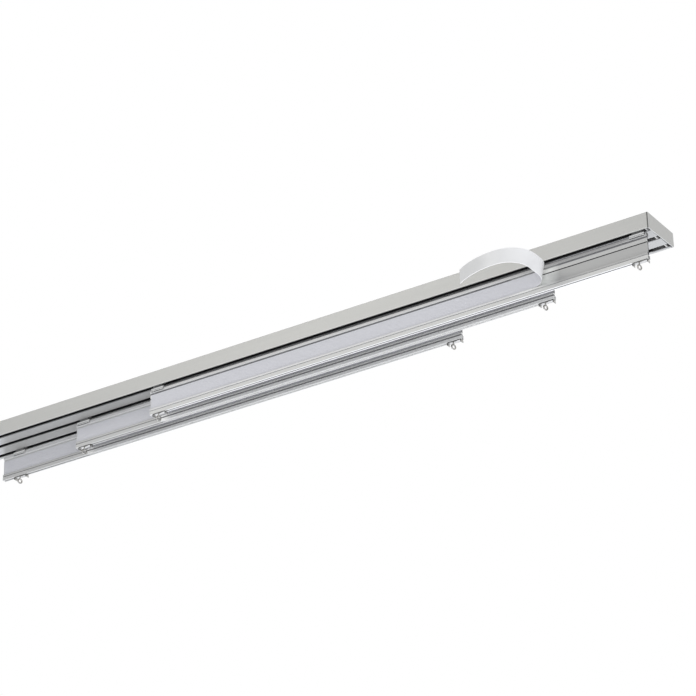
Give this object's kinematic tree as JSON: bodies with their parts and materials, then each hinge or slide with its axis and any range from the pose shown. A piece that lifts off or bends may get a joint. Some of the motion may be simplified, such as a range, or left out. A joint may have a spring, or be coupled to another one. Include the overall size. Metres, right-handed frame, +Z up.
{
  "type": "sliding panel curtain track",
  "caption": "Ceiling-mounted curtain track with side-by-side channels, sliding panel carriers with hook tape, end caps, stops and draw-wand eyelets.",
  "frame": {"origin": "middle of the upper face that lies against the ceiling", "axes": "+X along the track to its right-hand end, -Y out of its front, +Z up to the ceiling"},
  "size_m": [1.2, 0.1125, 0.0568],
  "materials": {
    "track_aluminium": "silver anodised, satin",
    "cap_lacquer": "silver-grey lacquer, satin",
    "stop_plastic": "moulded, white",
    "carrier_aluminium": "silver anodised, satin",
    "hook_tape": "white woven nylon with fine hooks",
    "glider_plastic": "moulded, light grey",
    "saddle_steel": "bent spring steel, bright nickel",
    "eyelet_steel": "pressed steel, bright nickel"
  },
  "bodies": {
    "track": {"track_profile": "track_aluminium", "end_cap_left": "cap_lacquer", "end_cap_right": "cap_lacquer", "stop_front_left": "stop_plastic", "stop_front_right": "stop_plastic", "stop_middle_left": "stop_plastic", "stop_middle_right": "stop_plastic", "stop_rear_left": "stop_plastic", "stop_rear_right": "stop_plastic"},
    "front_panel_carrier": {"carrier_front": "carrier_aluminium", "tape_front": "hook_tape", "glider_front_left": "glider_plastic", "saddle_front_left": "saddle_steel", "eyelet_front_left": "eyelet_steel", "glider_front_right": "glider_plastic", "saddle_front_right": "saddle_steel", "eyelet_front_right": "eyelet_steel"},
    "middle_panel_carrier": {"carrier_middle": "carrier_aluminium", "tape_middle": "hook_tape", "glider_middle_left": "glider_plastic", "saddle_middle_left": "saddle_steel", "eyelet_middle_left": "eyelet_steel", "glider_middle_right": "glider_plastic", "saddle_middle_right": "saddle_steel", "eyelet_middle_right": "eyelet_steel"},
    "rear_panel_carrier": {"carrier_rear": "carrier_aluminium", "tape_rear": "hook_tape", "glider_rear_left": "glider_plastic", "saddle_rear_left": "saddle_steel", "eyelet_rear_left": "eyelet_steel", "glider_rear_right": "glider_plastic", "saddle_rear_right": "saddle_steel", "eyelet_rear_right": "eyelet_steel"}
  },
  "joints": [
    {"name": "front_carrier_slide", "type": "slide", "parent": "track", "child": "front_panel_carrier", "axis": [1, 0, 0], "range_m": [-0.5915, 0.0019]},
    {"name": "middle_carrier_slide", "type": "slide", "parent": "track", "child": "middle_panel_carrier", "axis": [1, 0, 0], "range_m": [-0.4755, 0.1179]},
    {"name": "rear_carrier_slide", "type": "slide", "parent": "track", "child": "rear_panel_carrier", "axis": [1, 0, 0], "range_m": [-0.3686, 0.2373]}
  ]
}
